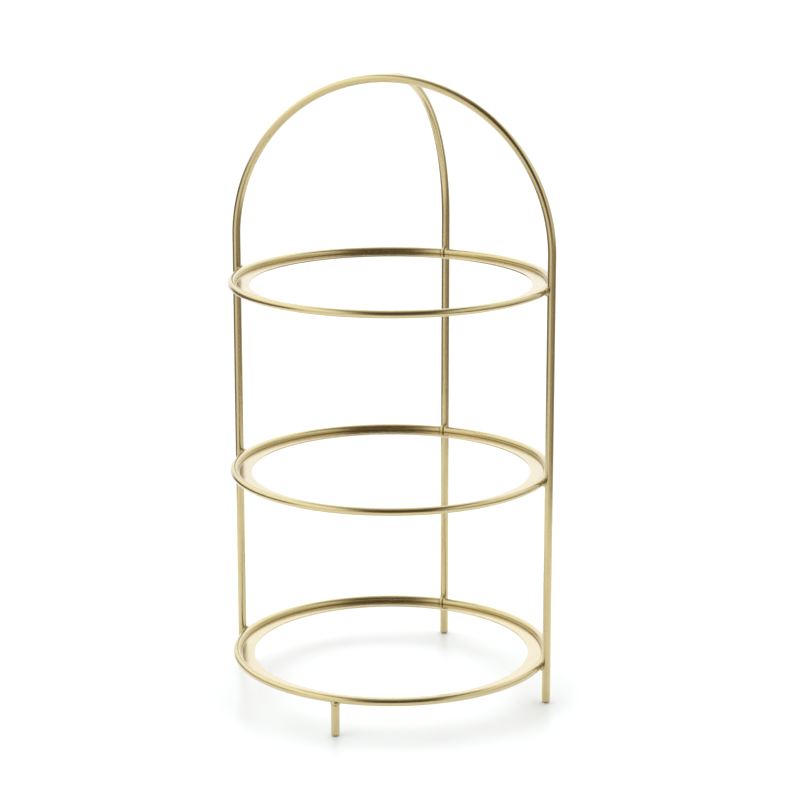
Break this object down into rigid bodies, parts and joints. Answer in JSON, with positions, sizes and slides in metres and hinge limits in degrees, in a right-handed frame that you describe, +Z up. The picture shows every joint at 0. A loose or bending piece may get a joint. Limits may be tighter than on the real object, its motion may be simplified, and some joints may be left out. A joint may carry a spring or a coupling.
{
  "type": "tiered cake stand",
  "caption": "Three-tier wire cake stand: a bent hoop and rear upright carry round rims with flat ledges for plates, and the arch is the handle.",
  "frame": {"origin": "on the floor, in the middle of the stand's outline; the tiers' axis is 3.075 mm in front of it, at y = -3.075 mm", "axes": "+Z up, +Y to the back where the rear upright stands, +X to the right along the hoop"},
  "size_m": [0.242, 0.2369, 0.4458],
  "materials": {
    "upright_wire": "satin plated",
    "rim_wire": "satin plated",
    "ledge_sheet": "brushed, plated",
    "weld": "plated over weld"
  },
  "bodies": {
    "root": {"main_hoop": "upright_wire", "rear_upright": "upright_wire", "front_foot": "upright_wire", "lower_rim_wire": "rim_wire", "middle_rim_wire": "rim_wire", "upper_rim_wire": "rim_wire", "lower_ledge": "ledge_sheet", "middle_ledge": "ledge_sheet", "upper_ledge": "ledge_sheet", "lower_rim_butt_weld": "weld", "middle_rim_butt_weld": "weld", "upper_rim_butt_weld": "weld", "lower_ledge_tack_welds": "weld", "middle_ledge_tack_welds": "weld", "upper_ledge_tack_welds": "weld", "lower_left_leg_weld": "weld", "lower_right_leg_weld": "weld", "lower_rear_leg_weld": "weld", "middle_left_leg_weld": "weld", "middle_right_leg_weld": "weld", "middle_rear_leg_weld": "weld", "upper_left_leg_weld": "weld", "upper_right_leg_weld": "weld", "upper_rear_leg_weld": "weld", "apex_weld": "weld", "front_foot_weld": "weld"}
  },
  "joints": []
}
